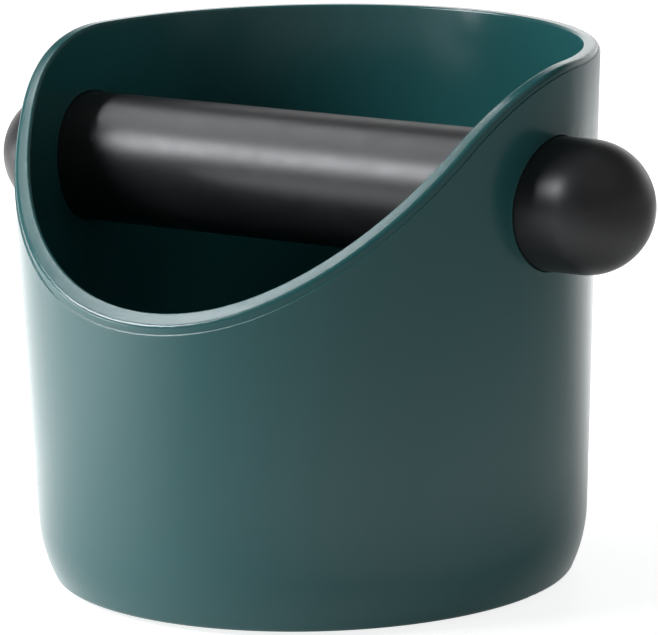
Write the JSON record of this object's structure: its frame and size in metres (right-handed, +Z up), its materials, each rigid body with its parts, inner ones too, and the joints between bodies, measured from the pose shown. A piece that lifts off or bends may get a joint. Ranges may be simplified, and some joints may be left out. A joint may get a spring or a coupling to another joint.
{
  "type": "espresso knock box",
  "caption": "Round tapered knock box with a scooped low front, a padded foot and a thick rubber-covered knock bar that slides out sideways and turns.",
  "frame": {"origin": "on the table under the middle of the bucket, at the centre of the foot pad's resting face", "axes": "+Z up; -Y towards the low scooped front of the rim; +X to the right along the knock bar"},
  "size_m": [0.145, 0.1101, 0.1013],
  "materials": {
    "bucket_plastic": "satin teal-green ABS",
    "foot_rubber": "matte",
    "core_steel": "turned",
    "bar_rubber": "satin",
    "cap_nylon": "natural nylon"
  },
  "bodies": {
    "bucket": {"bucket": "bucket_plastic", "foot_pad": "foot_rubber"},
    "bar_core": {"core_rod": "core_steel"},
    "bar_skin": {"knock_sleeve": "bar_rubber", "left_end_cap": "bar_rubber", "right_end_cap": "bar_rubber", "left_cap_core": "cap_nylon", "right_cap_core": "cap_nylon"}
  },
  "joints": [
    {"name": "bar_pull", "type": "slide", "parent": "bucket", "child": "bar_core", "axis": [1, 0, 0], "range_m": [-0.135, 0.135]},
    {"name": "bar_turn", "type": "hinge", "parent": "bar_core", "child": "bar_skin", "pos_m": [0.002, 0.0015, 0.076], "axis": [1, 0, 0], "continuous": true}
  ]
}
